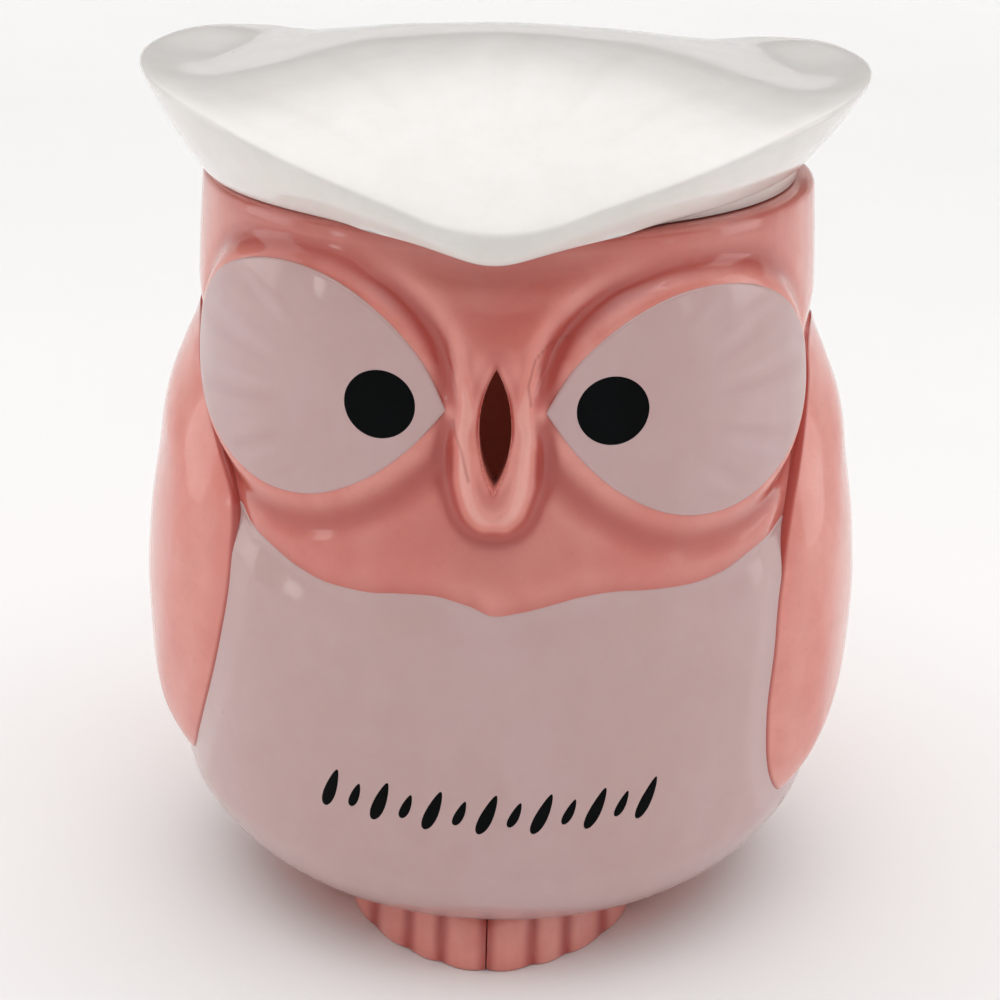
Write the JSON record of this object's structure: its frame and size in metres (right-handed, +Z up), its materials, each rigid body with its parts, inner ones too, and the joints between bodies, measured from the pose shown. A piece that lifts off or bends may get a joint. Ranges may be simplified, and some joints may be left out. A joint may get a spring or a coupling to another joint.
{
  "type": "figural coin bank",
  "caption": "Glazed ceramic owl coin bank: hollow body with a lens-shaped coin slot in the beak, raised eyes and wings, and a lift-off eared lid.",
  "frame": {"origin": "middle of the flat base, on the surface the bank stands on", "axes": "+Z up, the owl faces -Y, its left side is on +X"},
  "size_m": [0.1946, 0.177, 0.2335],
  "materials": {
    "pink_glaze": "high-gloss glaze over soft pink, darker where it pools",
    "lavender_glaze": "high-gloss glaze, faintly mottled lavender",
    "white_glaze": "high-gloss white glaze with sparse pinholes",
    "black_glaze": "glossy black decal"
  },
  "bodies": {
    "body": {"body_shell": "pink_glaze", "belly_field": "lavender_glaze", "wing_left": "pink_glaze", "wing_right": "pink_glaze", "eye_field_left": "lavender_glaze", "eye_field_right": "lavender_glaze", "pupil_left": "black_glaze", "pupil_right": "black_glaze", "foot_left": "pink_glaze", "foot_right": "pink_glaze"},
    "lid": {"lid": "white_glaze"}
  },
  "joints": [
    {"name": "lid_lift", "type": "slide", "parent": "body", "child": "lid", "axis": [0, 0, 1], "range_m": [0, 0.08]}
  ]
}
